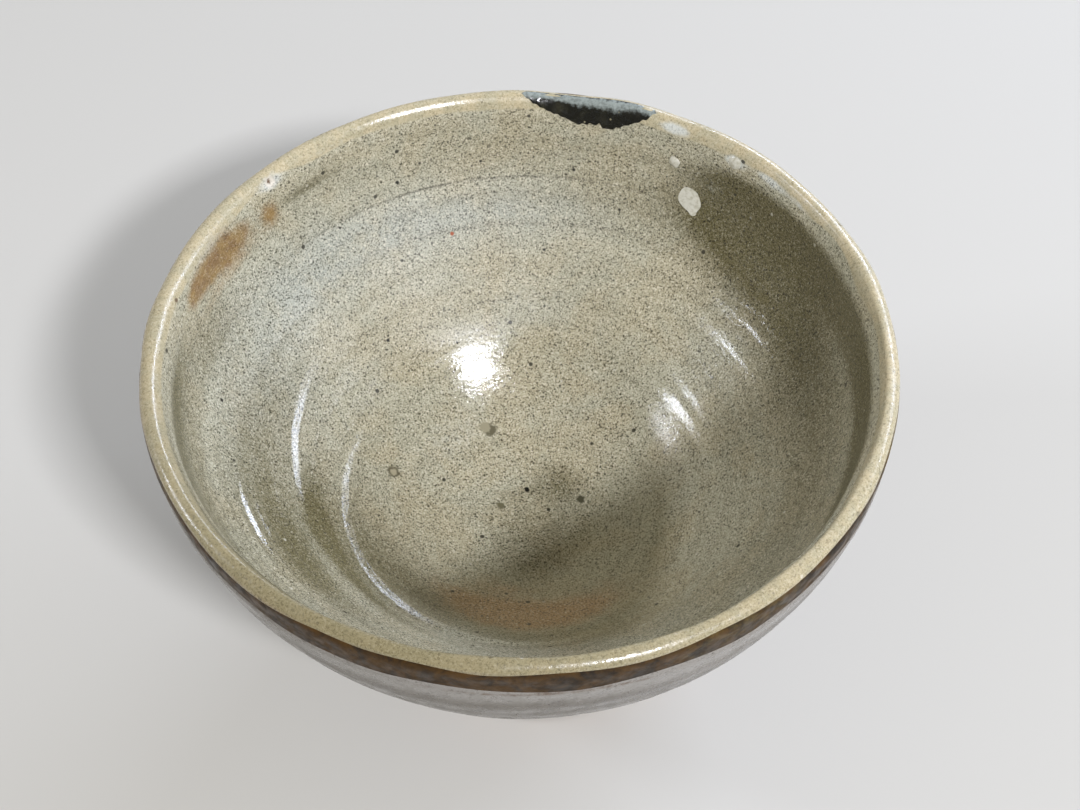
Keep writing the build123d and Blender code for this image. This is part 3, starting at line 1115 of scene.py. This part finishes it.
@dataclass
class Coat:
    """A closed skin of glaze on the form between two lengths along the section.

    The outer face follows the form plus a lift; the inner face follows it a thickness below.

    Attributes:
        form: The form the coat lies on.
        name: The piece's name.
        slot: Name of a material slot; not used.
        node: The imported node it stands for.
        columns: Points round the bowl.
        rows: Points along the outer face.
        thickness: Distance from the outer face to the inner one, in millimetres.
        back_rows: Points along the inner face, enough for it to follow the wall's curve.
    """

    form: ThrownForm
    name: str
    slot: str
    node: str
    columns: int
    rows: int
    thickness: float = 0.4
    back_rows: int = 6

    def lengths(self, degrees: Grid, share: Grid) -> Grid:
        """Length along the section for each share, 0 at the coat's start and 1 at its end."""
        raise NotImplementedError

    def lift(self, degrees: Grid, along: Grid, share: Grid) -> Grid:
        """Height of the outer face over the nominal surface."""
        raise NotImplementedError

    def layers(self, degrees: Grid, along: Grid) -> dict[str, Grid]:
        """Named values that the finish reads."""
        return {}

    def build(self, finish: bpy.types.Material) -> bpy.types.Object:
        """Outer rows followed by inner rows, closed into a ring or, from the axis, into a shell.

        Args:
            finish: The material of the piece.

        Returns:
            The piece.
        """
        share = np.linspace(0.0, 1.0, self.rows)[:, None]
        back = np.linspace(1.0, 0.0, self.back_rows)[:, None]
        degrees = (np.arange(self.columns) * 360.0 / self.columns)[None, :]
        faces = []
        for part, sunk in ((share, 0.0), (back, self.thickness)):
            along = self.lengths(degrees, part) + 0.0 * degrees
            lift = self.lift(degrees, along, part) - sunk
            faces.append((self.form.place(degrees + 0.0 * along, along, lift), along))
        grid = np.concatenate([f[0] for f in faces])
        along = np.concatenate([f[1] for f in faces])
        values = self.layers(degrees + 0.0 * along, along)
        closed = shell_object if self.starts_on_axis() else ring_object
        return dress(closed(self.name, grid, values), finish, [self.node])

    def starts_on_axis(self) -> bool:
        """Whether the coat's first row meets the axis."""
        return False


def dress(piece: bpy.types.Object, finish: bpy.types.Material,
          nodes: list[str]) -> bpy.types.Object:
    """Give a piece its finish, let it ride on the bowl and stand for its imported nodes.

    Args:
        piece: The piece.
        finish: Its material.
        nodes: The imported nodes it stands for.

    Returns:
        The same piece.
    """
    piece.data.materials.append(finish)
    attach(piece, "root")
    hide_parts(*nodes)
    return piece


@dataclass
class InsideCoat(Coat):
    """Ash glaze inside, from the tea pool to where it slips under the lip's bead."""

    relief: Relief | None = None
    stains: Stains | None = None
    end_height: float = 69.4
    sink_height: float = 67.6
    dense_heights: tuple[float, ...] = (30.0, 38.2, 48.0, 55.6)

    def starts_on_axis(self) -> bool:
        """The coat covers the middle of the floor."""
        return True

    def lengths(self, degrees: Grid, share: Grid) -> Grid:
        """Steps from just off the axis to under the bead, closer together where the ledges are.

        Args:
            degrees: Directions round the bowl; not used.
            share: Share of the coat's length, 0 at its start.

        Returns:
            Lengths along the section in millimetres.
        """
        fine = np.linspace(0.25, self.form.curve.length_at(self.end_height, True), 400)
        middles = [self.form.curve.length_at(z, True) for z in self.dense_heights]
        dense = 1.0 + sum(1.6 * bump(fine, middle, 2.6) for middle in middles)
        climbed = np.r_[0.0, np.cumsum(0.5 * (dense[1:] + dense[:-1]))]
        return np.interp(share, climbed / climbed[-1], fine)

    def lift(self, degrees: Grid, along: Grid, share: Grid) -> Grid:
        """The inside relief, sinking a little under the bead at its top."""
        edge = self.form.curve.length_at(self.sink_height, True)
        return self.relief.lift(degrees, along) - 0.12 * smooth(edge, edge + 1.6, along)

    def layers(self, degrees: Grid, along: Grid) -> dict[str, Grid]:
        """The stains inside."""
        return self.stains.layers(degrees, along)


@dataclass
class LipBead(Coat):
    """Thick pale glaze over the lip, thinned to nothing along both wavy edges."""

    relief: Relief | None = None
    stains: Stains | None = None
    inner_height: float = 67.0
    outer_height: float = 70.3

    def __post_init__(self) -> None:
        """Random waves of the two edges."""
        self.inner = Ripple(41, 19, 500.0, 20)
        self.outer = Ripple(42, 11, 500.0, 16)

    def lengths(self, degrees: Grid, share: Grid) -> Grid:
        """From a wavy line inside the lip to a wavy line just over its outer turn.

        Args:
            degrees: Directions round the bowl.
            share: Share of the coat's length, 0 at its start.

        Returns:
            Lengths along the section in millimetres.
        """
        inner, outer = (wave.at(degrees, 0.0 * degrees) for wave in (self.inner, self.outer))
        start = self.form.curve.length_at(self.inner_height, True) + 0.4 * inner
        end = self.form.curve.length_at(self.outer_height, False) + 0.22 * outer
        return start + share * (end - start)

    def lift(self, degrees: Grid, along: Grid, share: Grid) -> Grid:
        """The shared surface, feathered under the inside coat, rolled over outside, with one burst bubble.

        Args:
            degrees: Directions round the bowl.
            along: Lengths along the section in millimetres.
            share: Share of the coat's length, 0 at its start.

        Returns:
            Lift at each point, in millimetres.
        """
        within, beyond = share * 8.0, (1.0 - share) * 8.0
        feather = 0.12 * smooth(2.0, 0.0, within) + 0.30 * smooth(0.8, 0.0, beyond)
        roll = 0.06 + 0.07 * bump(beyond, 1.3, 0.9)
        thick = roll * smooth(self.form.crest - 1.5, self.form.crest + 1.0, along)
        reach = self.burst(degrees, along)
        burst = 0.13 * bump(reach, 1.35, 0.45) - 0.38 * smooth(1.15, 0.55, reach)
        return self.relief.lift(degrees, along) + thick - feather + burst

    def burst(self, degrees: Grid, along: Grid) -> Grid:
        """Distance from the burst bubble on the lip's left, in millimetres."""
        return np.hypot(np.radians(turn_gap(degrees, 141.0)) * 58.0, along - (self.form.crest - 2.2))

    def layers(self, degrees: Grid, along: Grid) -> dict[str, Grid]:
        """The inside's stains, with rust outside and in the burst bubble, and painted shade round the front
        of the lip.

        Args:
            degrees: Directions round the bowl.
            along: Lengths along the section in millimetres.

        Returns:
            One array for each layer.
        """
        made = self.stains.layers(degrees, along)
        outer = smooth(self.form.crest + 0.9, self.form.crest + 2.6, along)
        left = 0.35 + 0.55 * bump(turn_gap(degrees, 160.0), 0.0, 60.0)
        made["rust"] = made["rust"] + outer * left + 0.5 * bump(self.burst(degrees, along), 0.9, 0.4)
        inner = self.form.curve.length_at(self.inner_height, True)
        crest = smooth(inner + 0.4, inner + 3.0, along)
        # painted shade on the front of the lip
        front = crest * bump(turn_gap(degrees, 248.0), 0.0, 58.0)
        made["olive"] = (1.0 - 0.75 * crest) * made["olive"] + front
        return made


@dataclass
class IronBand(Coat):
    """Brushed iron wash under the lip outside, lying under the bead above and the glaze below."""

    top_height: float = 71.2
    low_height: float = 63.9

    def lengths(self, degrees: Grid, share: Grid) -> Grid:
        """From under the bead down to under the outside glaze."""
        start, end = (self.form.curve.length_at(z, False) for z in (self.top_height, self.low_height))
        return start + share * (end - start)

    def lift(self, degrees: Grid, along: Grid, share: Grid) -> Grid:
        """Just below the nominal surface, brush-uneven."""
        return -0.07 + 0.03 * Ripple(51, 30, 4.0, 30).at(degrees, along)

    def layers(self, degrees: Grid, along: Grid) -> dict[str, Grid]:
        """Thinner wash round the back and the left, full round the front."""
        front = bump(turn_gap(degrees, 268.0), 0.0, 42.0)
        return {"thin": 0.75 * (1.0 - front) * (0.6 + 0.4 * Ripple(52, 9, 20.0, 16).at(degrees, along))}


@dataclass
class OutsideCoat(Coat):
    """Whitish glaze outside, with a soft roll at its top and a thick wavy line above the foot.

    Attributes:
        top_height: Height of its wavy upper edge.
        milk_height: Height where the milky band starts and the coat's nominal length is counted from.
        foot_height: Height of its wavy lower edge.
    """

    top_height: float = 66.2
    milk_height: float = 64.9
    foot_height: float = 11.4

    def __post_init__(self) -> None:
        """Random waves of the two edges, of the surface and of the throwing lines."""
        self.top = Ripple(61, 16, 500.0, 20)
        self.foot = Ripple(62, 9, 500.0, 14)
        self.lumps = Ripple(63, 16, 16.0, 36)
        self.sway = Ripple(64, 4, 60.0, 12)

    def lengths(self, degrees: Grid, share: Grid) -> Grid:
        """From a wavy line on the iron band to a wavy line above the foot.

        Args:
            degrees: Directions round the bowl.
            share: Share of the coat's length, 0 at its start.

        Returns:
            Lengths along the section in millimetres.
        """
        start = self.form.curve.length_at(self.top_height, False) + 0.5 * self.top.at(degrees, 0.0 * degrees)
        end = self.form.curve.length_at(self.foot_height, False) + 0.8 * self.foot.at(degrees, 0.0 * degrees)
        return start + share * (end - start)

    def lift(self, degrees: Grid, along: Grid, share: Grid) -> Grid:
        """Throwing lines, soft lumps, a feathered top edge and a rolled lower edge.

        Args:
            degrees: Directions round the bowl.
            along: Lengths along the section in millimetres.
            share: Share of the coat's length, 0 at its start.

        Returns:
            Lift at each point, in millimetres.
        """
        phase = along + 6.5 * degrees / 360.0 + self.sway.at(degrees, along)
        lines = 0.07 * np.cos(2.0 * np.pi * phase / 6.5) + 0.05 * self.lumps.at(degrees, along)
        top, foot = (self.form.curve.length_at(z, False) for z in (self.milk_height, self.foot_height))
        length = foot - top
        from_top, from_foot = share * length, (1.0 - share) * length
        roll = 0.10 * bump(from_top, 1.4, 1.0) - 0.30 * smooth(0.9, 0.0, from_top)
        drip = 0.32 * bump(from_foot, 1.3, 1.2) - 0.35 * smooth(0.7, 0.0, from_foot)
        return lines * smooth(0.0, 3.0, from_top) * smooth(0.0, 3.0, from_foot) + roll + drip

    def layers(self, degrees: Grid, along: Grid) -> dict[str, Grid]:
        """Milkier near the top, iron showing through in a few places.

        Args:
            degrees: Directions round the bowl.
            along: Lengths along the section in millimetres.

        Returns:
            One array for each layer.
        """
        start = self.form.curve.length_at(self.milk_height, False)
        milk = 0.7 * smooth(start + 9.0, start, along) + 0.25 * Ripple(65, 7, 26.0, 24).at(degrees, along)
        iron = 0.25 * Ripple(66, 8, 22.0, 24).at(degrees, along) + 0.5 * bump(along, start, 0.8)
        return {"milk": milk, "iron": iron}


@dataclass
class ClayBody(Coat):
    """The thrown clay under the coats, bare above the foot and on its turned underside.

    Attributes:
        chip: The chip broken out of it.
        depth: How deep it lies under the glaze's surface, in millimetres.
        bare_heights: Heights where the bare clay begins and where it is wholly bare.
        underside: Radius and height of points from above the foot ring in to the axis.
        under_rows: Points along the underside.
    """

    chip: Chip | None = None
    depth: float = 0.52
    bare_heights: tuple[float, float] = (13.5, 12.0)
    underside: tuple[tuple[float, float], ...] = (
        (32.0, 8.0), (24.9, 8.0), (24.1, 7.3), (23.4, 6.65), (16.0, 6.6), (9.0, 6.75), (4.0, 6.6),
        (1.6, 5.9), (0.3, 5.75))
    under_rows: int = 90

    def build(self, finish: bpy.types.Material) -> bpy.types.Object:
        """Section from the floor's middle over the lip to the foot, then in under the body to the axis.

        Args:
            finish: The material of the piece.

        Returns:
            The piece.
        """
        form = self.form
        degrees = (np.arange(self.columns) * 360.0 / self.columns)[None, :]
        along = np.linspace(0.25, form.end, self.rows)[:, None] + 0.0 * degrees
        covered, uncovered = (form.curve.length_at(z, False) for z in self.bare_heights)
        bare = smooth(covered, uncovered, along)
        lines = 0.05 * np.cos(2.0 * np.pi * along / 1.6) * bare
        lift = -self.depth * (1.0 - bare * 0.75) + lines - self.chip.hollow(form, degrees, along)
        wall = form.place(degrees + 0.0 * along, along, lift)
        under = np.array(self.underside)
        knots = np.r_[0.0, np.cumsum(np.hypot(*np.diff(under, axis=0).T))]
        fine = np.linspace(0.0, knots[-1], self.under_rows)[1:, None] + 0.0 * degrees
        r, z = (np.interp(fine, knots, under[:, k]) for k in (0, 1))
        turned = smooth(25.0, 22.0, r) * smooth(2.0, 5.0, r)
        z = z - 0.10 * turned * np.cos(2.0 * np.pi * (r + 2.2 * degrees / 360.0) / 2.2)
        base = form.warp(degrees + 0.0 * fine, r, z)
        piece = shell_object(self.name, np.concatenate([wall, base]), {})
        return dress(piece, finish, [self.node])


@dataclass
class FootRing:
    """The luted and turned foot ring the bowl stands on."""

    form: ThrownForm
    columns: int = 384
    rows: int = 111
    outline: tuple[tuple[float, float], ...] = (
        (24.9, 8.15), (32.1, 8.15), (32.25, 7.4), (32.7, 4.6), (33.2, 1.6), (33.3, 0.9), (32.95, 0.25),
        (32.2, 0.0), (29.7, 0.0), (27.3, 0.0), (26.6, 0.25), (26.2, 0.9), (25.7, 3.0), (25.1, 6.2),
        (24.9, 7.4))

    def build(self, finish: bpy.types.Material) -> bpy.types.Object:
        """Outline carried round the axis, with turning lines, slight waves and two worn nicks.

        Args:
            finish: The material of the piece.

        Returns:
            The piece.
        """
        degrees = (np.arange(self.columns) * 360.0 / self.columns)[None, :]
        ends = np.array(self.outline + self.outline[:1])
        knots = np.r_[0.0, np.cumsum(np.hypot(*np.diff(ends, axis=0).T))]
        fine = np.linspace(0.0, knots[-1], self.rows)[:-1, None] + 0.0 * degrees
        r, z = (np.interp(fine, knots, ends[:, k]) for k in (0, 1))
        out = np.where(r > 29.5, 1.0, -1.0)
        side = smooth(0.3, 1.2, z) * smooth(8.1, 7.6, z)
        r = r + out * side * (0.07 * np.cos(2.0 * np.pi * z / 1.5 + np.radians(degrees)) - 0.03)
        r = r + 0.10 * Ripple(71, 6, 60.0, 10).at(degrees, fine) * smooth(8.2, 5.0, z)
        nick = bump(turn_gap(degrees, 232.0), 0.0, 2.6) + 0.7 * bump(turn_gap(degrees, 25.0), 0.0, 2.0)
        z = z + 0.55 * nick * smooth(1.2, 0.0, z) * smooth(30.6, 32.6, r)
        points = self.form.warp(degrees + 0.0 * fine, r, np.maximum(z, 0.0))
        return dress(ring_object("foot_ring_turned", points, {}), finish, ["foot_ring"])


@dataclass
class Mend:
    """The chip's filling: paste in its depth and polished black lacquer over it."""

    form: ThrownForm
    chip: Chip
    relief: Relief
    columns: int = 240
    rows: int = 34

    def layer(self, name: str, proud: float, depth: float, inset: float) -> bpy.types.Object:
        """Closed lens that follows the glaze's surface, cut to the chip's outline.

        Args:
            name: The piece's name.
            proud: How far its face stands over the glaze, in millimetres.
            depth: How deep its back lies under the glaze, in millimetres.
            inset: How far its edge stays inside the outline, in millimetres.

        Returns:
            The welded piece.
        """
        first, last = self.chip.outline[0][0], self.chip.outline[-1][0]
        degrees = np.linspace(last - inset, first + inset, self.columns)[None, :]
        ends = np.minimum(smooth(last, last - 1.0, degrees), smooth(first, first + 1.0, degrees))
        rag = 0.16 * Ripple(82, 300, 500.0, 30).at(degrees, 0.0 * degrees)
        deep = np.maximum(self.chip.drop(degrees) + rag * ends - inset, 0.0) * (ends > 0.0)
        over = (self.chip.over_crest + 0.25 - inset) * ends
        down = np.linspace(0.0, 1.0, self.rows)[:, None]
        along = self.form.crest + over - down * (deep + over)
        round_off = np.minimum(1.0, 4.0 * np.minimum(down, 1.0 - down)) ** 0.5
        facets = 0.05 * Ripple(81, 60, 5.0, 30).at(degrees, along) * (depth < 1.0)
        hollow = 0.20 * np.sin(np.pi * down) * np.minimum(1.0, deep / 4.0)
        skin = self.relief.surface(degrees, along) + 0.10
        upper = skin + (proud + 0.03) * round_off * ends - 0.03 + (facets - hollow) * round_off
        lower = skin - 0.25 - (depth - 0.25) * np.sin(np.pi * down) ** 0.6 * ends
        outer = self.form.place(degrees + 0.0 * along, along, upper)
        inner = self.form.place(degrees + 0.0 * along, along, np.minimum(lower, upper - 0.03))
        grid = np.concatenate([outer[::-1], inner])
        caps = [list(range(0, grid.shape[0] * grid.shape[1], grid.shape[1]))]
        caps.append([i + grid.shape[1] - 1 for i in caps[0]][::-1])
        faces = grid_faces(grid.shape[0], grid.shape[1], True, False).tolist() + caps
        lowest = np.concatenate([down[::-1], down]) * np.minimum(1.0, deep / 3.0)
        return weld(mesh_object(name, grid.reshape(-1, 3), faces, {"low": lowest}))

    def build(self, lacquer: bpy.types.Material, paste: bpy.types.Material) -> list[bpy.types.Object]:
        """Lacquer flush with the lip and paste under it.

        Args:
            lacquer: Finish of the lacquer.
            paste: Finish of the paste.

        Returns:
            Both pieces.
        """
        skin = self.layer("mend_lacquer_coat", proud=0.05, depth=0.6, inset=0.0)
        dress(skin, lacquer, ["mend_lacquer"])
        fill = self.layer("mend_paste_fill", proud=-0.55, depth=1.9, inset=0.35)
        dress(fill, paste, ["mend_filler"])
        return [skin, fill]


def weld(piece: bpy.types.Object, gap_mm: float = 0.004) -> bpy.types.Object:
    """Merge points that coincide, drop faces without area, and turn all faces outwards.

    Args:
        piece: The piece to weld.
        gap_mm: How near two points are to be one, in millimetres.

    Returns:
        The same piece.
    """
    work = bmesh.new()
    work.from_mesh(piece.data)
    bmesh.ops.remove_doubles(work, verts=work.verts, dist=gap_mm * MM)
    bmesh.ops.dissolve_degenerate(work, dist=gap_mm * MM, edges=work.edges)
    bmesh.ops.recalc_face_normals(work, faces=work.faces)
    work.to_mesh(piece.data)
    work.free()
    return piece


@dataclass(frozen=True)
class Splash:
    """One low drop of white glaze: direction, height, radius and thickness, and how far its tail runs."""

    direction: float
    height: float
    radius: float
    thick: float
    tail: float = 0.0


@dataclass
class WhiteDrops:
    """Drops of white glaze that landed on the upper wall."""

    form: ThrownForm
    relief: Relief
    drops: tuple[Splash, ...] = (
        Splash(60.6, 64.2, 1.2, 0.42), Splash(56.0, 57.9, 2.7, 0.18, 1.1), Splash(48.5, 69.4, 1.3, 0.30))
    columns: int = 40
    dome_rows: int = 12
    back_rows: int = 4

    def build(self, finish: bpy.types.Material) -> bpy.types.Object:
        """Domes whose outline wavers, joined into one piece: thickness is (1 - distance^2)^0.8.

        Args:
            finish: The material of the piece.

        Returns:
            The joined piece.
        """
        pieces = []
        for number, drop in enumerate(self.drops):
            turn = (np.arange(self.columns) * 360.0 / self.columns)[None, :]
            dome, back = np.linspace(0.04, 1.0, self.dome_rows), np.linspace(0.92, 0.04, self.back_rows)
            reach = np.concatenate([dome, back])[:, None]
            waver = 1.0 + 0.07 * Ripple(91 + number, 5, 99.0, 8).at(turn, 0.0 * turn)
            waver = waver + drop.tail / drop.radius * bump(turn_gap(turn, 300.0), 0.0, 16.0)
            x, y = (drop.radius * reach * waver * f(np.radians(turn)) for f in (np.cos, np.sin))
            lift = drop.thick * (1.0 - reach**2) ** 0.8
            lift[self.dome_rows:] = 0.0
            lift = lift - np.where(np.arange(reach.size) < self.dome_rows, 0.05, 0.25)[:, None]
            along = self.form.curve.length_at(drop.height, True) + y
            radius, _ = self.form.curve.point(along)
            degrees = drop.direction - np.degrees(x / radius)
            grid = self.form.place(degrees, along, lift + self.relief.surface(degrees, along))
            pieces.append(shell_object(f"white_drop_{number + 1}", grid[::-1], {}))
        with bpy.context.temp_override(active_object=pieces[0], selected_editable_objects=pieces):
            bpy.ops.object.join()
        pieces[0].name = "white_glaze_drops"
        return dress(weld(pieces[0], 0.001), finish, ["white_drops"])


# --------------------------------------------------------------------------- studio


@dataclass
class Softbox:
    """A soft rectangular lamp: where it stands, how large it is, its power and its colour."""

    name: str
    azimuth: float
    elevation: float
    distance: float
    wide: float
    tall: float
    watts: float
    colour: str = "#ffffff"
    aim: tuple[float, float, float] = (0.0, 0.0, 0.04)

    def build(self) -> bpy.types.Object:
        """Area lamp on a sphere round the bowl, turned to the bowl.

        Returns:
            The lamp.
        """
        data = bpy.data.lights.new(self.name, "AREA")
        data.shape, data.size, data.size_y, data.energy = "RECTANGLE", self.wide, self.tall, self.watts
        data.color = linear(self.colour)[:3]
        lamp = bpy.data.objects.new(self.name, data)
        bpy.context.scene.collection.objects.link(lamp)
        turn, rise = math.radians(self.azimuth), math.radians(self.elevation)
        away = Vector((math.cos(turn) * math.cos(rise), math.sin(turn) * math.cos(rise), math.sin(rise)))
        lamp.location = Vector(self.aim) + away * self.distance
        lamp.rotation_euler = away.to_track_quat("Z", "Y").to_euler()
        return lamp


@dataclass
class Studio:
    """Pale paper floor, soft lamps and the camera looking down into the bowl."""

    camera_mm: tuple[float, float, float] = (3.2, -161.6, 256.8)
    aim_mm: tuple[float, float, float] = (2.7, 10.4, 40.0)
    roll: float = 0.24
    lens: float = 50.0

    def build(self) -> None:
        """Put up the floor, the lamps, the room's light and the camera."""
        self.floor()
        for lamp in self.lamps():
            lamp.build()
        self.room()
        self.camera()

    def floor(self) -> None:
        """Wide flat sheet under the foot."""
        half = 3.0
        corners = np.array([(-half, -half, 0), (half, -half, 0), (half, half, 0), (-half, half, 0)]) / MM
        sheet = mesh_object("studio_floor", corners, [[0, 1, 2, 3]], {})
        sheet.data.materials.append(StudioPaper("pale_studio_paper").material())

    def lamps(self) -> list[Softbox]:
        """A main light at the front right, long narrow ones at the right, behind and at the left.

        Returns:
            The five lamps.
        """
        return [
            Softbox("main_softbox", 302.0, 44.0, 1.1, 0.15, 0.09, 11.6, "#f6f8ff"),
            Softbox("right_softbox", 3.0, 26.0, 1.1, 0.50, 0.05, 0.8, "#eef3ff"),
            Softbox("window_softbox", 36.0, 28.0, 1.1, 0.60, 0.06, 4.6, "#dfe9ff"),
            Softbox("back_softbox", 66.0, 26.0, 1.1, 0.46, 0.09, 5.2, "#dfe9ff"),
            Softbox("left_softbox", 176.0, 28.5, 1.1, 0.26, 0.06, 3.4, "#eef3ff"),
        ]

    def room(self) -> None:
        """Even pale light from all round."""
        world = bpy.data.worlds.new("studio_room")
        world.use_nodes = True
        shade = world.node_tree.nodes["Background"]
        shade.inputs["Color"].default_value = linear("#f4ebd2")
        shade.inputs["Strength"].default_value = 0.33
        bpy.context.scene.world = world
        bpy.context.scene.view_settings.view_transform = "Standard"

    def camera(self) -> None:
        """Camera by place, aim and a touch of roll."""
        data = bpy.data.cameras.new("camera")
        data.lens, data.sensor_width, data.clip_start, data.clip_end = self.lens, 36.0, 0.01, 20.0
        eye = bpy.data.objects.new("camera", data)
        bpy.context.scene.collection.objects.link(eye)
        place, aim = Vector(self.camera_mm) * MM, Vector(self.aim_mm) * MM
        turned = (aim - place).to_track_quat("-Z", "Y").to_matrix().to_4x4()
        turned = turned @ Matrix.Rotation(math.radians(self.roll), 4, "Z")
        eye.matrix_world = Matrix.Translation(place) @ turned
        bpy.context.scene.camera = eye


# --------------------------------------------------------------------------- the bowl


@dataclass
class MatchaBowl:
    """The whole bowl: form, coats, foot, mend and drops."""

    form: ThrownForm

    def marks(self, chosen: tuple[Mark, ...]) -> list[tuple[Vector, Mark]]:
        """Each small mark with its place on the inside wall, in metres.

        Args:
            chosen: The marks.

        Returns:
            Places and marks.
        """
        placed = []
        for mark in chosen:
            along = np.array([self.form.curve.length_at(mark.height, True)])
            point = self.form.place(np.array([mark.direction]), along, np.zeros(1))[0]
            placed.append((Vector(point * MM), mark))
        return placed

    def build(self) -> list[bpy.types.Object]:
        """Make every piece, inside out.

        Returns:
            The pieces, already on the body.
        """
        form, chip = self.form, Chip()
        relief = Relief(form, chip)
        clay = BareClay("fired_stoneware_clay").material()
        foot_clay = BareClay("turned_foot_clay", base="#a58460", deep="#7c5c3e").material()
        ash = AshGlaze("inside_ash_glaze").material(self.marks(MARKS))
        straw = AshGlaze("lip_straw_glaze", roughness=0.25).material(self.marks(LIP_MARKS))
        iron = IronWash("iron_wash_under_ash").material()
        whitish_painted_shade = WhitishGlazeInPaintedShade("whitish_slip_glaze_painted_shade").material()
        lacquer = Lacquer("black_tree_lacquer").material()
        paste = Lacquer("lacquer_paste", "#1d1a16", "#2e2a22", painted_reflection_share=0.0, roughness=0.4).material()
        milk = MilkGlaze("white_drop_glaze").material()
        marked = {"relief": relief, "stains": Stains(form, relief)}
        pieces = [
            ClayBody(form, "clay_body_thrown", "clay", "clay_body", 320, 200, chip=chip).build(clay),
            FootRing(form).build(foot_clay),
            InsideCoat(form, "inside_ash_glaze", "inside_glaze", "inside_glaze", 416, 186,
                       back_rows=48, **marked).build(ash),
            LipBead(form, "lip_glaze_bead", "lip_glaze", "lip_glaze", 640, 72,
                    back_rows=16, **marked).build(straw),
            IronBand(form, "iron_wash_band", "iron_wash", "iron_band", 512, 24).build(iron),
            OutsideCoat(form, "outside_white_glaze", "outside_glaze", "outside_glaze", 512, 150,
                        back_rows=30).build(whitish_painted_shade),
        ]
        pieces += Mend(form, chip, relief).build(lacquer, paste)
        pieces.append(WhiteDrops(form, relief).build(milk))
        return pieces


def main() -> None:
    """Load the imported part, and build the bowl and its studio."""
    logging.basicConfig(level=logging.INFO, format="%(message)s")
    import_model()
    _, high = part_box("lip_glaze")
    form = ThrownForm(height=high.z / MM)
    for piece in MatchaBowl(form).build():
        size = [round(d / MM, 1) for d in piece.dimensions]
        LOG.info("%s: %d faces, %s mm", piece.name, len(piece.data.polygons), size)
    Studio().build()


if __name__ == "__main__":
    main()
